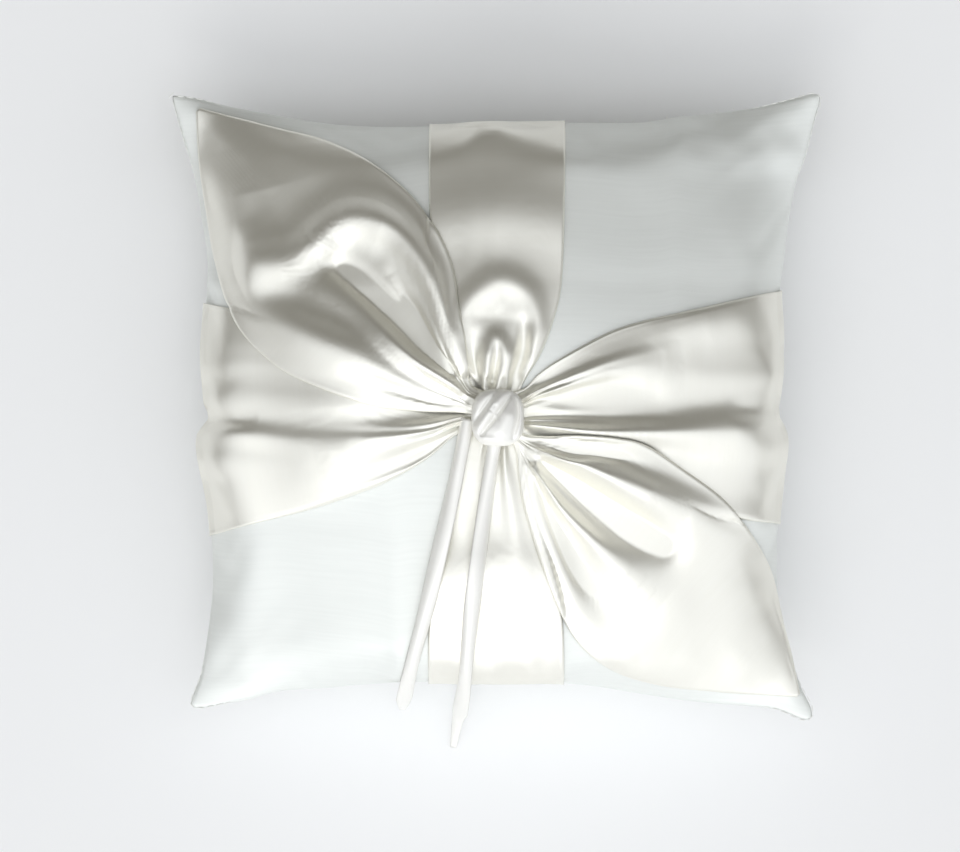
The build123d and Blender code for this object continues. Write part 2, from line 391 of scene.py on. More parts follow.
def blowUp(case):
    cloth = case.modifiers.new("cloth", "CLOTH")
    settings = cloth.settings
    settings.quality = 6
    settings.mass = pillow["mass"]
    settings.air_damping = 2
    settings.tension_stiffness = settings.compression_stiffness = pillow["stretch"]
    settings.shear_stiffness = pillow["stretch"] / 3
    settings.bending_stiffness = pillow["bend"]
    settings.use_pressure = True
    settings.uniform_pressure_force = pillow["pressure"]
    settings.effector_weights.gravity = 0
    cloth.collision_settings.use_collision = False
    cloth.point_cache.frame_start = 1
    cloth.point_cache.frame_end = pillow["frames"]
    for number in range(1, pillow["frames"] + 1):
        scene.frame_set(number)
    return applied(case)


def settle(case, cloth):
    # brings the blown form to the real seam, crown height and resting flat
    count = len(case.data.vertices)
    co = np.zeros(count * 3)
    case.data.vertices.foreach_get("co", co)
    co = co.reshape(-1, 3) / mm
    cells = pillow["cells"]
    a, b = cloth[:, 0], cloth[:, 1]
    i, j = (np.round((c + 1) * cells / 2).astype(int) for c in (a, b))
    place = {(i[k], j[k]): k for k in range(count) if i[k] in (0, cells) or j[k] in (0, cells)}
    lines = {side: smoothLine(pillow[side], cells + 1) for side in ("left", "right", "near", "far")}
    whole = range(cells + 1)
    shift = {
        "left": lines["left"] - co[[place[0, k] for k in whole], :2],
        "right": lines["right"] - co[[place[cells, k] for k in whole], :2],
        "near": lines["near"] - co[[place[k, 0] for k in whole], :2],
        "far": lines["far"] - co[[place[k, cells] for k in whole], :2],
    }
    p, q = ((1 + a) / 2)[:, None], ((1 + b) / 2)[:, None]
    plan = co[:, :2] + (
        (1 - p) * shift["left"][j] + p * shift["right"][j] + (1 - q) * shift["near"][i] + q * shift["far"][i]
        - (1 - p) * (1 - q) * shift["left"][0] - p * (1 - q) * shift["right"][0]
        - (1 - p) * q * shift["left"][cells] - p * q * shift["right"][cells])
    x, y = plan[:, 0], plan[:, 1]
    up = co[:, 2] > 0
    fullness = np.maximum(co[:, 2], 0) / co[:, 2].max()
    top = (crownHeight - seamHeight + pillow["crownDip"] * 0.3) * fullness ** pillow["slump"]
    belly = (seamHeight + pillow["bellyDrop"]) * co[:, 2] / -co[:, 2].min()
    z = seamHeight + np.where(up, top, belly)
    # the stuffing hardly reaches the ears
    tips = np.array([lines["left"][0], lines["left"][-1], lines["right"][0], lines["right"][-1]])
    fromTip = np.linalg.norm(plan[:, None] - tips[None], axis=2).min(axis=1)
    keep = pillow["earFlat"] + (1 - pillow["earFlat"]) * eased(fromTip / pillow["earReach"])
    z = np.where(up, seamHeight + (z - seamHeight) * keep, z)
    dip = np.exp(-((x - knotMiddle[0]) ** 2 + (y - knotMiddle[1]) ** 2) / pillow["crownDipWidth"] ** 2)
    z = np.where(up, z - pillow["crownDip"] * dip, 0.5 * (z + np.sqrt(z**2 + pillow["restEdge"])))
    # in plan nothing but the seam reaches as far as the seam
    ring = np.vstack([lines[side] for side in ("left", "right", "near", "far")])
    ring = ring[np.argsort(np.arctan2(ring[:, 1], ring[:, 0]))]
    ringReach, ringHeading = np.hypot(ring[:, 0], ring[:, 1]), np.arctan2(ring[:, 1], ring[:, 0])
    reach = np.interp(np.arctan2(y, x), ringHeading, ringReach, period=2 * math.pi)
    inner = (np.abs(a) < 1) & (np.abs(b) < 1)
    pull = np.where(inner, np.minimum(1, (reach - pillow["rimClear"]) / np.maximum(np.hypot(x, y), 1)), 1)
    x, y = x * pull, y * pull
    # small puckers where the seam draws the cloth in
    rimness = np.exp(-np.abs(z - seamHeight) / pillow["puckerLength"])
    rimness *= 1 - np.exp(-np.abs(z - seamHeight) / pillow["puckerStart"])
    scale = pillow["puckerScale"]
    for k in range(count):
        layer = pillow["puckerTop"] if up[k] else pillow["puckerUnder"]
        z[k] += pillow["pucker"] * noise.noise(Vector((x[k] * scale, y[k] * scale, layer))) * rimness[k]
    case.data.vertices.foreach_set("co", (np.stack([x, y, z], axis=1) * mm).ravel())
    case.data.update()


def buildPillow():
    case, cloth, rim = buildCase()
    blowUp(case)
    settle(case, cloth)
    rimPlan = np.array([case.data.vertices[k].co[:] for k in rim]) / mm
    smooth = case.modifiers.new("smooth", "SUBSURF")
    smooth.levels = smooth.render_levels = 1
    applied(case)
    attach(case, "root")
    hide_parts("front_panel", "back_panel", "filling")
    return case, rimPlan


case, rim = buildPillow()
print("pillow case:", len(case.data.vertices), "points")


# Relief maps: the height of what lies uppermost, over the plan

relief = {"half": 112.0, "step": 0.8, "castFrom": 0.2}
planAxis = np.arange(-relief["half"], relief["half"] + relief["step"] / 2, relief["step"])


def castRelief(piece):
    tree = BVHTree.FromObject(piece, bpy.context.evaluated_depsgraph_get())
    heights = np.full((len(planAxis), len(planAxis)), np.nan)
    down = Vector((0, 0, -1))
    for i, y in enumerate(planAxis):
        for j, x in enumerate(planAxis):
            hit = tree.ray_cast(Vector((x * mm, y * mm, relief["castFrom"])), down)[0]
            if hit is not None:
                heights[i, j] = hit.z / mm
    return heights


def sample(heights, x, y):
    i = np.clip((y + relief["half"]) / relief["step"], 0, len(planAxis) - 1.001)
    j = np.clip((x + relief["half"]) / relief["step"], 0, len(planAxis) - 1.001)
    a, b = i.astype(int), j.astype(int)
    p, q = i - a, j - b
    return ((1 - p) * (1 - q) * heights[a, b] + (1 - p) * q * heights[a, b + 1]
            + p * (1 - q) * heights[a + 1, b] + p * q * heights[a + 1, b + 1])


def blurred(heights, radius):
    reach = int(3 * radius / relief["step"]) + 1
    taps = np.exp(-((np.arange(-reach, reach + 1) * relief["step"] / radius) ** 2) / 2)
    taps /= taps.sum()
    out = np.apply_along_axis(lambda r: np.convolve(np.pad(r, reach, "edge"), taps, "valid"), 0, heights)
    return np.apply_along_axis(lambda r: np.convolve(np.pad(r, reach, "edge"), taps, "valid"), 1, out)


def widened(heights, radius):
    # each place takes the greatest height within the radius
    reach = int(round(radius / relief["step"]))
    out = heights
    for axis in (0, 1):
        out = np.max([np.roll(out, k, axis=axis) for k in range(-reach, reach + 1)], axis=0)
    return out


# the seam's outline as a reach for each heading, for ending the bands in the seam
order = np.argsort(np.arctan2(rim[:, 1], rim[:, 0]))
rimHeading = np.arctan2(rim[order, 1], rim[order, 0])
rimReach = np.hypot(rim[order, 0], rim[order, 1])


def inward(x, y):
    # how far a plan point is inside the seam, along its heading
    return np.interp(np.arctan2(y, x), rimHeading, rimReach, period=2 * math.pi) - np.hypot(x, y)


ground = castRelief(case)
ground = np.where(np.isnan(ground), seamHeight, ground)
print("relief of the case cast")


# Cloth laid over the relief

laying = {
    "linePoints": 420, "edgeCrowd": 0.10, "endCrowd": 0.11,
    # pleats wander a little sideways on their way out of the knot
    "wander": 0.05, "wanderAcross": 17, "wanderOut": 0.06,
    "leastRise": 0.5, "selvedgeAt": 0.7, "selvedgeWidth": 0.45, "seamStandoff": 2.4,
    "slopeSpan": 1.2, "tallFold": 4.0, "pastSeam": 0.6, "aboveSeam": 0.3,
}


def trimmed(column, inset):
    # cuts a line of plan points exactly where it comes this close to the seam
    depth = inward(column[:, 0], column[:, 1])
    inside = depth > inset
    first, last = np.argmax(inside), len(column) - 1 - np.argmax(inside[::-1])
    kept = [column[first:last + 1]]
    if first > 0:
        share = (inset - depth[first - 1]) / (depth[first] - depth[first - 1])
        kept.insert(0, (column[first - 1] + share * (column[first] - column[first - 1]))[None])
    if last < len(column) - 1:
        share = (inset - depth[last + 1]) / (depth[last] - depth[last + 1])
        kept.append((column[last + 1] + share * (column[last] - column[last + 1]))[None])
    return np.vstack(kept)


def clothGrid(cloth):
    # plan points of the cloth, in rows from end to end and columns from edge to edge
    rows, cols = cloth["rows"], cloth["cols"]
    lineA, lineB = (smoothLine(cloth[edge], laying["linePoints"]) for edge in ("edgeA", "edgeB"))
    even = np.linspace(0, 1, cols)
    across = even - laying["edgeCrowd"] * np.sin(2 * math.pi * even)
    plan = lineA[:, None] * (1 - across)[None, :, None] + lineB[:, None] * across[None, :, None]
    along = np.linspace(0, 1, rows)
    if cloth["sewn"]:
        along = along - laying["endCrowd"] * np.sin(2 * math.pi * along)
    grid = np.zeros((rows, cols, 2))
    for j in range(cols):
        column = trimmed(plan[:, j], cloth["inset"])
        run = runAlong(column)
        for axis in (0, 1):
            grid[:, j, axis] = np.interp(along * run[-1], run, column[:, axis])
    return grid, across


def clothBody(cloth, grid, across):
    # how far the cloth stands off what is below: lift, folds and pleats, rounded down at the edges
    x, y = grid[..., 0], grid[..., 1]
    gaps = [np.linalg.norm(grid - grid[:, [side]], axis=2) for side in (0, -1)]
    edgeGap = np.minimum(*gaps)
    width = np.linalg.norm(grid[:, 0] - grid[:, -1], axis=1)[:, None]
    roll = np.minimum(cloth["roll"], 0.45 * width)
    rounding = np.sqrt(1 - (1 - np.clip(edgeGap / roll, 0, 1)) ** 2)
    fromKnot = np.hypot(x - knotMiddle[0], y - knotMiddle[1])
    sway = np.sin(across[None] * laying["wanderAcross"] + fromKnot * laying["wanderOut"])
    pleats = cloth["pleats"]
    wave = np.sin(2 * math.pi * pleats["count"] * (across[None] + laying["wander"] * sway))
    rise = cloth["lift"] + foldHeights(x, y, cloth["folds"])
    rise = rise + pleats["rise"] * wave * np.exp(-((fromKnot / pleats["reach"]) ** 2))
    # never under the layer below
    soft = 0.5 * (rise + np.sqrt(rise**2 + laying["leastRise"]))
    if not cloth["sewn"]:
        # a drape's folded edge stands up at once, then the cloth swells slowly
        step, reach = cloth["edgeStep"], cloth["swellReach"]
        swell = (1 - np.exp(-((gaps[0] / reach) ** 2))) * (1 - np.exp(-((gaps[1] / reach) ** 2)))
        soft = step + np.maximum(soft - step, 0) * swell
    body = soft * rounding * eased(inward(x, y) / cloth["seamFade"])
    if cloth["sewn"]:
        fromSelvedge = (edgeGap - laying["selvedgeAt"]) / laying["selvedgeWidth"]
        body += cloth["selvedge"] * np.exp(-(fromSelvedge**2))
    return body, edgeGap


def layCloth(name, cloth, under, material):
    grid, across = clothGrid(cloth)
    x, y = grid[..., 0], grid[..., 1]
    body, edgeGap = clothBody(cloth, grid, across)
    base = np.maximum(blurred(under, cloth["bridge"]), under)
    z = sample(base, x, y)
    if cloth["sewn"]:
        # the relief is coarse beside the seam, so the cloth stands off it there
        near = np.clip(1 - inward(x, y) / laying["seamStandoff"], 0, 1)
        z = z + (sample(widened(under, relief["step"]), x, y) - z) * near
    else:
        # away from its edges a drape spans the steps of the layers below it
        over = ground + blurred(widened(under - ground, cloth["spanReach"]), cloth["spanReach"])
        z = z + (np.maximum(sample(over, x, y), z) - z) * eased(edgeGap / cloth["spanFrom"])
    span = laying["slopeSpan"]
    slopeX = (sample(base, x + span, y) - sample(base, x - span, y)) / (2 * span)
    slopeY = (sample(base, x, y + span) - sample(base, x, y - span)) / (2 * span)
    steep = np.sqrt(1 + slopeX**2 + slopeY**2)
    out = cloth["gap"] + body
    # tall folds rise straight up, and flat cloth stands off along the normal
    tilt = np.clip(1 - body / laying["tallFold"], 0, 1)
    points = np.stack([x - slopeX / steep * out * tilt, y - slopeY / steep * out * tilt,
                       z + out * (tilt / steep + 1 - tilt)], axis=2)
    if cloth["sewn"]:
        # a sewn end wraps over the side and stops on the seam
        for row in (0, -1):
            away = grid[row] / np.linalg.norm(grid[row], axis=1)[:, None]
            points[row, :, :2] = grid[row] + away * laying["pastSeam"]
            points[row, :, 2] = seamHeight + laying["aboveSeam"]
    rows, cols = cloth["rows"], cloth["cols"]
    lengthwise = runAlong(points[:, cols // 2])
    sideways = (across * 2 - 1) * cloth["flatWidth"] / 2
    uv = np.stack(np.broadcast_arrays(sideways[None], lengthwise[:, None]), axis=2).reshape(-1, 2)
    piece = meshOf(name, points.reshape(-1, 3) * mm, gridFaces(rows, cols), material, uv)
    faceUp(piece, len(piece.data.polygons) // 2)
    print("laid", name, "top", round(float(points[..., 2].max()), 1))
    return piece


def thickened(piece, thickness):
    solid = piece.modifiers.new("cloth", "SOLIDIFY")
    solid.thickness = thickness * mm
    solid.offset = -1
    solid.use_even_offset = False
    return applied(piece)


def fold(line, rise, spread):
    return {"line": line, "rise": rise, "spread": spread}


# The upright band: puffed and pleated above the knot, spread below it
uprightBand = {
    "pleats": {"count": 4.5, "rise": 0.45, "reach": 18},
    "rows": 260, "cols": 72, "flatWidth": 42.5, "gap": 0.55, "lift": 0.15, "roll": 1.4,
    "bridge": 0.8, "seamFade": 13.0, "selvedge": 0.14, "sewn": True, "inset": 0.15,
    "edgeA": [(-20.8, 104), (-20.9, 84), (-20.8, 62), (-20.0, 44), (-18.0, 30), (-14.6, 16), (-8.6, 4),
              (-8.0, -6), (-11.0, -20), (-15.5, -36), (-19.3, -52), (-21.0, -66), (-21.2, -84),
              (-21.2, -104)],
    "edgeB": [(21.6, 104), (21.7, 86), (21.4, 64), (21.1, 51), (20.2, 36), (18.0, 26), (13.9, 15),
              (7.6, 4), (7.2, -6), (8.4, -20), (12.0, -36), (17.4, -52), (20.6, -66), (21.3, -84),
              (21.3, -104)],
    "folds": [
        fold([(-1, 4), (0, 14), (1, 26)], (4.2, 3.6, 1.4), (8, 11, 15)),
        fold([(-10, 22), (-6, 33), (1, 37), (8, 34), (12, 22)],
             (0.9, 1.1, 1.3, 1.1, 0.9), (6, 10, 12, 10, 6)),
        fold([(-9.6, 10), (-12.3, 20), (-9, 31), (1, 38), (10, 34), (13.3, 24), (11, 14)],
             (1.2, 1.6, 1.4, 1.3, 1.4, 1.6, 1.2), (2.2, 2.8, 3.6, 4.2, 3.6, 2.8, 2.2)),
        fold([(-3.5, 9), (-2.5, 15), (0, 20), (3.5, 15), (3, 9)],
             (1.4, 1.6, 1.2, 1.6, 1.4), (1.8, 2.2, 2.6, 2.2, 1.8)),
        fold([(8.4, 24), (8.2, 16), (5.4, 8)], (-1.2, -2.6, -2.6), (2.0, 1.9, 1.4)),
        fold([(-6.6, 20), (-6.4, 13), (-5.2, 8)], (-0.6, -1.8, -2.4), (2.0, 1.8, 1.4)),
        fold([(0.3, 17), (-0.4, 11), (-1.4, 6)], (-0.5, -1.6, -3.6), (1.2, 1.1, 1.1)),
        fold([(-8.6, 8), (-7.4, 4)], (-2.5, -5.5), (1.8, 2.2)),
        fold([(7.0, 7.5), (6.0, 3.5)], (-2.0, -5.5), (1.6, 2.2)),
        fold([(-3, -14), (-6, -34), (-8, -56)], (-1.2, -1.0, 0.0), (1.4, 2.6, 4.0)),
        fold([(2, -14), (5, -34), (8, -56)], (1.6, 1.2, 0.0), (1.6, 2.8, 4.0)),
        fold([(-20, 56), (1, 59), (21, 56)], (1.6, 2.6, 1.6), (11, 12, 11)),
        fold([(-21, -56), (0, -54), (21, -56)], (3.2, 5.2, 3.2), (10, 12, 10)),
    ],
}

# The sash across: two wide wings that gather to the knot
acrossSash = {
    "pleats": {"count": 6.5, "rise": 0.6, "reach": 30},
    "rows": 300, "cols": 120, "flatWidth": 75.0, "gap": 0.6, "lift": 0.3, "roll": 2.2,
    "bridge": 1.6, "seamFade": 17.0, "selvedge": 0.12, "sewn": True, "inset": 0.15,
    "edgeA": [(-110, 33), (-92, 31.5), (-74, 27), (-56, 22), (-40, 16.5), (-26, 10), (-14, 4),
              (-4, 1.5), (8, 4.5), (13, 9), (20.2, 13.9), (34.6, 21.7), (45.6, 25.4), (56.4, 27.9),
              (67.3, 30.4), (81.7, 33.7), (91, 35.6), (110, 39)],
    "edgeB": [(-110, -46), (-88.7, -41.4), (-78.4, -38.4), (-57.3, -33), (-39.4, -26.9), (-30.2, -22.7),
              (-21.2, -17.3), (-12, -9.8), (-4, -8.5), (6, -10), (14, -12.5), (26, -17), (40, -23),
              (56, -30), (72, -35.5), (90, -38.2), (110, -41)],
    "folds": [
        # towards the right seam
        fold([(9, 2.5), (18, 3.5), (29, 8), (42, 12), (58, 13)],
             (2.4, 2.8, 2.6, 1.8, 0.4), (1.8, 3.2, 5.0, 6.5, 8)),
        fold([(13, 1.0), (25, 2.2), (36, 2.4), (46, 1.6)], (-0.8, -3.2, -3.8, -1.2), (1.6, 3.6, 5.0, 4.8)),
        fold([(52, 22), (66, 25), (80, 27)], (0.8, 1.8, 1.2), (6, 7, 7)),
        fold([(11, -7), (30, -8.8), (47, -9.4), (66, -9.4), (91, -9.4)],
             (3.4, 4.4, 4.2, 4.2, 4.2), (1.7, 2.6, 3.8, 6.5, 8)),
        fold([(91, -2.8), (82, -2.6), (72, -2.4)], (-3.4, -1.8, 0.0), (2.0, 2.6, 3.0)),
        fold([(60, -33), (74, -36), (91, -39)], (0.6, 2.0, 2.4), (6, 6, 6)),
        # towards the left seam
        fold([(-10, -5.5), (-20, -8), (-36, -12), (-56, -17)], (3.0, 3.4, 2.6, 1.0), (2.2, 3.8, 6, 9)),
        fold([(-11, -8), (-22, -13.5), (-36, -19.5), (-52, -25)],
             (-0.8, -1.4, -1.0, 0.0), (1.2, 2.2, 3.0, 4.0)),
        fold([(-94, -9), (-80, -9.6), (-64, -12), (-48, -15)], (2.0, 1.8, 1.6, 1.0), (3.2, 3.4, 4.0, 5.0)),
        fold([(-50, 18), (-48, 0), (-47, -20)], (4.6, 5.6, 3.4), (19, 19, 17)),
        fold([(-93, -4.4), (-84, -5.0), (-74, -6.4)], (-3.0, -1.6, 0.0), (2.0, 2.4, 3.0)),
    ],
}

# The drape to the far left corner
leftDrape = {
    "pleats": {"count": 6.5, "rise": 0.5, "reach": 32},
    "rows": 230, "cols": 170, "flatWidth": 92.0, "gap": 0.6, "lift": 2.0, "roll": 1.1,
    "edgeStep": 0.9, "swellReach": 7.0, "spanReach": 3.2, "spanFrom": 11.0,
    "bridge": 2.5, "seamFade": 4.0, "sewn": False, "inset": 2.0,
    "edgeA": [(-2.5, 3.4), (-7.8, 6.5), (-9.1, 16.7), (-10.8, 26.8), (-14.2, 45.2), (-22.8, 60.5),
              (-36, 73), (-52.6, 81.7), (-69, 86.3), (-84, 90.3), (-93.2, 92.9)],
    "edgeB": [(-2.5, -5.4), (-9, -3.6), (-24.3, -2.8), (-39.4, -0.6), (-57.3, 5.7), (-69.4, 12.3),
              (-80.5, 23.9), (-87.1, 41.3), (-91.2, 62), (-93.6, 78), (-94.4, 91.6)],
    "folds": [
        fold([(-90, 39), (-80, 42.5), (-66, 44.5), (-57, 49)], (2.5, 4.4, 4.6, 2.4), (8, 9, 8, 7)),
        fold([(-56, 49.5), (-52, 55), (-43, 58), (-31, 54.5), (-22, 44), (-15.5, 30), (-10.5, 16), (-6.5, 6)],
             (2.6, 4.8, 6.0, 6.0, 5.6, 4.8, 4.0, 3.0), (7, 7, 7, 6.5, 5.2, 3.8, 2.6, 1.6)),
        fold([(-84, 80), (-80, 64), (-77, 50)], (1.6, 3.0, 2.0), (13, 14, 12)),
        fold([(-55, 45), (-44, 38.5), (-33, 28.6), (-23.5, 18), (-14, 9.6)],
             (-0.8, -4.2, -5.2, -4.6, -2.6), (4.0, 3.6, 3.0, 2.3, 1.5)),
        fold([(-32, 39), (-25.4, 28), (-18.6, 17), (-12.4, 10.4)],
             (-0.4, -2.0, -2.4, -1.6), (2.2, 2.1, 1.7, 1.1)),
        fold([(-62, 33), (-50, 32.4), (-37, 23.6), (-24.5, 13), (-11.5, 4)],
             (1.2, 3.0, 4.4, 4.2, 3.0), (8, 6.5, 4.6, 3.2, 1.9)),
        fold([(-78, 29), (-62, 24), (-46, 15.6), (-28, 6)], (3.2, 3.6, 3.2, 2.0), (12, 11, 8, 5)),
        fold([(-46, 9.6), (-29.2, 3), (-15, -0.8)], (-0.4, -2.2, -2.0), (2.8, 1.9, 1.1)),
        fold([(-33, -0.8), (-20, -1.8), (-9, -2.6)], (0.8, 2.2, 2.6), (1.8, 1.4, 1.2)),
    ],
}

# The drape to the near right corner
rightDrape = {
    "pleats": {"count": 6.5, "rise": 0.5, "reach": 30},
    "rows": 230, "cols": 170, "flatWidth": 88.0, "gap": 0.6, "lift": 1.9, "roll": 1.1,
    "edgeStep": 0.9, "swellReach": 7.0, "spanReach": 3.2, "spanFrom": 11.0,
    "bridge": 2.5, "seamFade": 4.0, "sewn": False, "inset": 2.0,
    "edgeA": [(3, -4), (9, -9.6), (25.4, -9.7), (37.4, -10.6), (46.5, -12.9), (58.5, -20.8),
              (70.6, -29.8), (79.6, -40.6), (86.8, -54.5), (90.6, -69.6), (93.4, -80), (95.8, -91.6)],
    "edgeB": [(1.5, -9), (5.6, -13.9), (6.9, -23.6), (9.1, -34.7), (15.8, -55.4), (23.2, -71.8),
              (34.3, -82.2), (50.7, -88.0), (70, -90.6), (84, -91.8), (94.8, -92.6)],
    "folds": [
        fold([(11.5, -12.8), (19, -16.8), (31, -21), (45, -27.4), (60, -34)],
             (2.6, 4.4, 5.8, 6.0, 3.2), (1.6, 2.6, 4.2, 6.2, 9.0)),
        fold([(14.5, -18.4), (27.4, -28.2), (38, -35.6), (46, -40.4), (52, -43.5)],
             (-1.8, -4.4, -5.4, -5.8, -3.4), (1.4, 2.2, 3.2, 4.2, 5.2)),
        fold([(11.5, -20), (19, -31.5), (29.4, -42.5), (41, -53), (52, -62)],
             (2.8, 4.2, 4.4, 3.4, 1.0), (1.5, 2.3, 3.4, 5.4, 8.0)),
        fold([(12.3, -24), (18.2, -37), (24.2, -49), (29.4, -57), (33, -63)],
             (-1.4, -3.0, -3.6, -2.6, -0.6), (1.1, 1.7, 2.4, 3.4, 4.4)),
        fold([(7.8, -20), (11.6, -36), (18.6, -54), (27, -69)], (2.4, 3.0, 2.6, 1.0), (1.3, 2.0, 2.8, 4.4)),
        fold([(16, -13.0), (24, -14.8), (36, -15.6), (46, -18)],
             (-1.6, -3.4, -2.4, -0.6), (1.0, 1.6, 2.0, 2.6)),
        fold([(14, -15.4), (22, -18.3), (31, -18.2)], (1.0, 1.2, 0.4), (0.9, 1.2, 1.6)),
        fold([(60, -62), (76, -74)], (1.6, 1.0), (14, 14)),
    ],
}


sheets = (
    {"node": "vertical_band", "cloth": uprightBand, "flat": (0.0425, 0.208), "area": None},
    {"node": "side_sash", "cloth": acrossSash, "flat": (0.075, 0.212), "area": None},
    {"node": "corner_drape_left", "cloth": leftDrape, "flat": (0.098, 0.142), "area": 0.0090},
    {"node": "corner_drape_right", "cloth": rightDrape, "flat": (0.092, 0.140), "area": 0.0083},
)
sheetThickness = 0.45


def layBands():
    under = ground
    for sheet in sheets:
        piece = layCloth(sheet["node"] + "_cloth", sheet["cloth"], under, bandSatin)
        under = np.fmax(under, castRelief(piece))
        thickened(piece, sheetThickness)
        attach(piece, "root")
        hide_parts(sheet["node"])


layBands()


# The knot: a folded strip wrapped round the gathered middle

knot = {
    "centre": (0.5, -4.6), "half": (8.2, 8.9), "low": 66.5, "high": 75.6,
    "rings": 60, "spokes": 96, "square": 2.7, "stripSize": 5.0, "topShare": 1.6, "weld": 0.02,
    "folds": [
        fold([(-6.5, -9.0), (-1.5, -2.2), (3.5, 4.5)], (0.7, 1.3, 0.8), (1.3, 1.5, 1.3)),
        fold([(-4.6, -9.8), (0.3, -3.4), (5.2, 3.2)], (-0.8, -1.3, -0.8), (0.6, 0.7, 0.6)),
        fold([(-8.2, -7.8), (-3.4, -1.2), (1.4, 5.4)], (-0.8, -1.1, -0.7), (0.6, 0.7, 0.6)),
        fold([(-1.5, -2.4), (-0.5, -1.0)], (-0.5, -0.5), (0.5, 0.5)),
        fold([(1.6, -8.5), (3.8, -4.5)], (1.2, 1.2), (3.0, 3.0)),
        fold([(5.2, 4.2), (6.8, -3.0), (5.2, -11.0)], (-0.8, -1.2, -0.8), (0.6, 0.7, 0.6)),
        fold([(7.2, 2.0), (8.0, -4.0), (7.0, -10.0)], (0.7, 0.9, 0.6), (0.8, 0.8, 0.8)),
        fold([(-6.0, 0.5), (-3.5, 2.8)], (0.5, 0.5), (2.0, 2.0)),
        fold([(-5.5, -10.8), (-1.0, -11.4), (3.0, -12.2)], (0.6, 0.7, 0.4), (0.9, 1.0, 0.9)),
    ],
}


def buildKnot():
    # a squarish pebble, creased along the folds of the strip
    rings, spokes = knot["rings"], knot["spokes"]
    tilt = np.linspace(0, math.pi, rings)[:, None]
    turn = np.linspace(0, 2 * math.pi, spokes, endpoint=False)[None]
    power = 2 / knot["square"]

    def squared(value):
        return np.sign(value) * np.abs(value) ** power

    x = knot["centre"][0] + knot["half"][0] * squared(np.sin(tilt)) * squared(np.cos(turn))
    y = knot["centre"][1] + knot["half"][1] * squared(np.sin(tilt)) * squared(np.sin(turn))
    middle, depth = (knot["low"] + knot["high"]) / 2, (knot["high"] - knot["low"]) / 2
    z = middle + depth * squared(np.cos(tilt)) * np.ones_like(turn)
    up = np.clip(np.cos(tilt) * knot["topShare"], 0, 1)
    z = z + up * foldHeights(x, y, knot["folds"])
    points = np.stack([x, y, z], axis=2)
    faces = gridFaces(rings, spokes, wrap=True)
    span = np.stack(np.broadcast_arrays(turn, tilt), axis=2).reshape(-1, 2) * knot["stripSize"]
    piece = meshOf("knot_wrap_cloth", points.reshape(-1, 3) * mm, faces, ribbonSatin, span)
    weld = piece.modifiers.new("weld", "WELD")
    weld.merge_threshold = knot["weld"] * mm
    applied(piece)
    centre = Vector((knot["centre"][0] * mm, knot["centre"][1] * mm, middle * mm))
    face = piece.data.polygons[len(piece.data.polygons) // 3]
    if face.normal.dot(face.center - centre) < 0:
        piece.data.flip_normals()
    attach(piece, "root")
    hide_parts("knot_wrap")


buildKnot()
print("knot wrapped")


# The two ring ribbons: flat, curled cords that hang over the near seam

tails = {
    "width": 6.0, "thickness": 0.35, "steps": 150, "across": 13, "tip": 0.34, "smooth": 24,
    "slant": (0.8, 1.2), "curlSway": 0.25, "curlPace": 0.09, "curlStart": 1.0,
    "twistPace": 0.045, "clear": 0.45,
    "ring_ribbon_left": {
        "plan": ((-8.8, -5.0), (-29.5, -98.0)),
        "route": ((0, 69.25), (12, 69.3), (22, 68), (36, 66.8), (49, 64.0), (61, 60.2), (72.5, 54.6),
                  (81.5, 47.5), (88, 36.5), (92.0, 23), (94.6, 10)),
        "length": 124.8, "curl": 2.7, "twist": 0.45, "cut": 17.0,
    },
    "ring_ribbon_right": {
        "plan": ((0.3, -8.0), (-13.3, -109.8)),
        "route": ((0, 69.25), (9, 69.3), (20, 67.8), (34, 66.6), (45, 67.2), (55, 63.8), (66, 59.2),
                  (76, 54.8), (82.5, 45.5), (88.5, 33), (91, 19.5), (94.6, 5.5), (103, 0.9)),
        "length": 135.2, "curl": 2.8, "twist": -0.45, "cut": 22.0,
    },
}


def ribbonPath(name, ribbon):
    root, tip = (np.array(p) for p in ribbon["plan"])
    heading = (tip - root) / np.linalg.norm(tip - root)
    curve = bpy.data.curves.new(name + "_route", "CURVE")
    curve.dimensions = "3D"
    spline = curve.splines.new("NURBS")
    spline.points.add(len(ribbon["route"]) - 1)
    for point, (distance, height) in zip(spline.points, ribbon["route"]):
        x, y = root + heading * distance
        point.co = (x * mm, y * mm, height * mm, 1)
    spline.order_u = 3
    spline.use_endpoint_u = True
    spline.resolution_u = tails["smooth"]
    line = bpy.data.objects.new(name + "_route", curve)
    bpy.context.collection.objects.link(line)
    mesh = bpy.data.meshes.new_from_object(line)
    path = np.array([v.co[:] for v in mesh.vertices]) / mm
    bpy.data.objects.remove(line)
    return path, heading


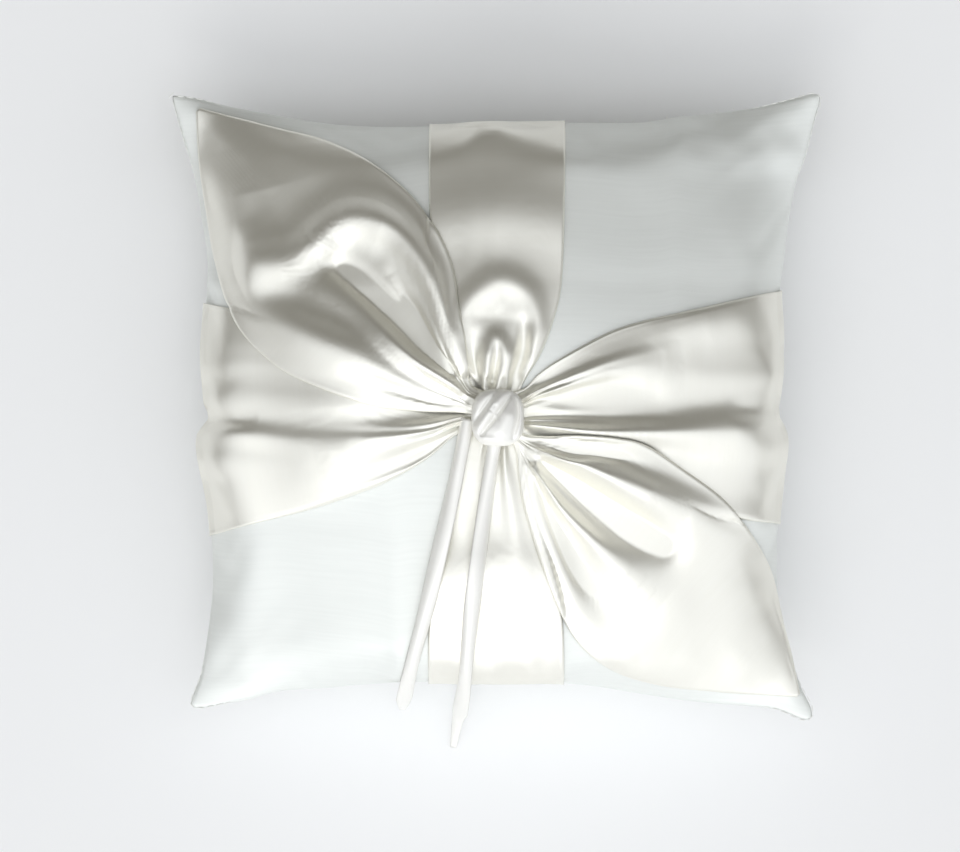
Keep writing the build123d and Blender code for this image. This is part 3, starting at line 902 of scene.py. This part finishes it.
def buildRibbon(name):
    ribbon = tails[name]
    half, count = tails["width"] / 2, tails["steps"]
    path, heading = ribbonPath(name, ribbon)
    run = runAlong(path)
    s = np.linspace(0, run[-1], count)
    line = np.stack([np.interp(s, run, path[:, k]) for k in range(3)], axis=1)
    ahead = np.gradient(line, axis=0)
    ahead /= np.linalg.norm(ahead, axis=1)[:, None]
    side = np.array([-heading[1], heading[0], 0.0])
    up = np.cross(ahead, side)
    up /= np.linalg.norm(up, axis=1)[:, None]
    up *= np.sign(up[0, 2])
    vertices, uv = [], []
    for k in range(count):
        narrow = tails["tip"] + (1 - tails["tip"]) * min(1.0, (run[-1] - s[k]) / ribbon["cut"])
        # a slanting cut
        low, high = -narrow ** tails["slant"][0], narrow ** tails["slant"][1]
        sway = math.sin(s[k] * tails["curlPace"] + tails["curlStart"])
        curl = ribbon["curl"] * (1 - tails["curlSway"] + tails["curlSway"] * sway)
        bend = ribbon["twist"] * math.sin(s[k] * tails["twistPace"])
        radius = tails["width"] / curl
        for w in np.linspace(-1, 1, tails["across"]):
            place = (low + (high - low) * (w + 1) / 2) * half
            angle = place / half * curl / 2
            flat, drop = radius * math.sin(angle), radius * (1 - math.cos(angle))
            sideways = flat * math.cos(bend) + drop * math.sin(bend)
            upward = flat * math.sin(bend) - drop * math.cos(bend)
            vertices.append((line[k] + side * sideways + up[k] * (upward + tails["clear"])) * mm)
            uv.append((place, s[k]))
    piece = meshOf(name + "_cloth", vertices, gridFaces(count, tails["across"]), ribbonSatin, uv)
    faceUp(piece, len(piece.data.polygons) // 4)
    thickened(piece, tails["thickness"])
    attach(piece, "root")
    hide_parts(name)
    print(name, "route", round(float(run[-1]), 1), "ribbon", ribbon["length"])


for name in ("ring_ribbon_left", "ring_ribbon_right"):
    buildRibbon(name)

# Rows of stitches in place of the plain rings of thread

stitches = {
    "seam": {"node": "seam_thread", "inset": 1.4, "spacing": 3.0, "upright": 0.0, "span": None},
    "closing": {
        "node": "closing_thread", "inset": -0.3, "spacing": 5.2, "upright": 1.0, "span": (30.0, 76.0),
    },
}
stitchSize = {"length": 2.4, "thickness": 0.4}


def stitchGroup():
    # a row of stitches along a line: each one an oval of thread, along the line or upright across it
    group = bpy.data.node_groups.new("stitchRow", "GeometryNodeTree")
    group.interface.new_socket("Line", in_out="INPUT", socket_type="NodeSocketGeometry")
    for name in ("Spacing", "Length", "Thickness", "Upright"):
        group.interface.new_socket(name, in_out="INPUT", socket_type="NodeSocketFloat")
    group.interface.new_socket("Thread", in_out="INPUT", socket_type="NodeSocketMaterial")
    group.interface.new_socket("Stitches", in_out="OUTPUT", socket_type="NodeSocketGeometry")
    nodes, links = group.nodes, group.links
    entry, leave = nodes.new("NodeGroupInput"), nodes.new("NodeGroupOutput")
    curve, even = nodes.new("GeometryNodeMeshToCurve"), nodes.new("GeometryNodeResampleCurve")
    even.mode = "LENGTH"
    links.new(entry.outputs["Line"], curve.inputs["Mesh"])
    links.new(curve.outputs["Curve"], even.inputs["Curve"])
    links.new(entry.outputs["Spacing"], even.inputs["Length"])
    tangent, way = nodes.new("GeometryNodeInputTangent"), nodes.new("ShaderNodeMix")
    way.data_type = "VECTOR"
    links.new(entry.outputs["Upright"], way.inputs["Factor"])
    links.new(tangent.outputs["Tangent"], way.inputs[4])
    way.inputs[5].default_value = (0, 0, 1)
    turn = nodes.new("FunctionNodeAlignRotationToVector")
    turn.axis = "Z"
    links.new(way.outputs[1], turn.inputs["Vector"])
    bead = nodes.new("GeometryNodeMeshUVSphere")
    bead.inputs["Segments"].default_value = 8
    bead.inputs["Rings"].default_value = 6
    bead.inputs["Radius"].default_value = 0.5  # so that its scale is its size
    size = nodes.new("ShaderNodeCombineXYZ")
    links.new(entry.outputs["Thickness"], size.inputs["X"])
    links.new(entry.outputs["Thickness"], size.inputs["Y"])
    links.new(entry.outputs["Length"], size.inputs["Z"])
    row, real = nodes.new("GeometryNodeInstanceOnPoints"), nodes.new("GeometryNodeRealizeInstances")
    links.new(even.outputs["Curve"], row.inputs["Points"])
    links.new(bead.outputs["Mesh"], row.inputs["Instance"])
    links.new(turn.outputs["Rotation"], row.inputs["Rotation"])
    links.new(size.outputs["Vector"], row.inputs["Scale"])
    links.new(row.outputs["Instances"], real.inputs["Geometry"])
    paint = nodes.new("GeometryNodeSetMaterial")
    links.new(real.outputs["Geometry"], paint.inputs["Geometry"])
    links.new(entry.outputs["Thread"], paint.inputs["Material"])
    links.new(paint.outputs["Geometry"], leave.inputs["Stitches"])
    return group


stitchRow = stitchGroup()


def buildStitches(name):
    row = stitches[name]
    reach = 1 - row["inset"] / rimReach
    points = np.stack([rim[order, 0] * reach, rim[order, 1] * reach], axis=1)
    if row["span"]:
        low, high = row["span"]
        points = points[(points[:, 0] > low) & (points[:, 0] < high) & (points[:, 1] > 0)]
    else:
        points = np.vstack([points, points[:1]])
    vertices = [(x * mm, y * mm, seamHeight * mm) for x, y in points]
    mesh = bpy.data.meshes.new(name + "_stitches")
    mesh.from_pydata(vertices, [(k, k + 1) for k in range(len(vertices) - 1)], [])
    piece = bpy.data.objects.new(name + "_stitches", mesh)
    bpy.context.collection.objects.link(piece)
    maker = piece.modifiers.new("stitches", "NODES")
    maker.node_group = stitchRow
    socket = {item.name: item.identifier for item in stitchRow.interface.items_tree if item.in_out == "INPUT"}
    maker[socket["Spacing"]] = row["spacing"] * mm
    maker[socket["Length"]] = stitchSize["length"] * mm
    maker[socket["Thickness"]] = stitchSize["thickness"] * mm
    maker[socket["Upright"]] = row["upright"]
    maker[socket["Thread"]] = threadCotton
    applied(piece)
    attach(piece, "root")
    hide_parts(row["node"])
    print(name, "stitches:", len(piece.data.polygons), "faces")


for name in stitches:
    buildStitches(name)
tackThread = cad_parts["tack_thread"].data
tackThread.materials.clear()
tackThread.materials.append(threadCotton)
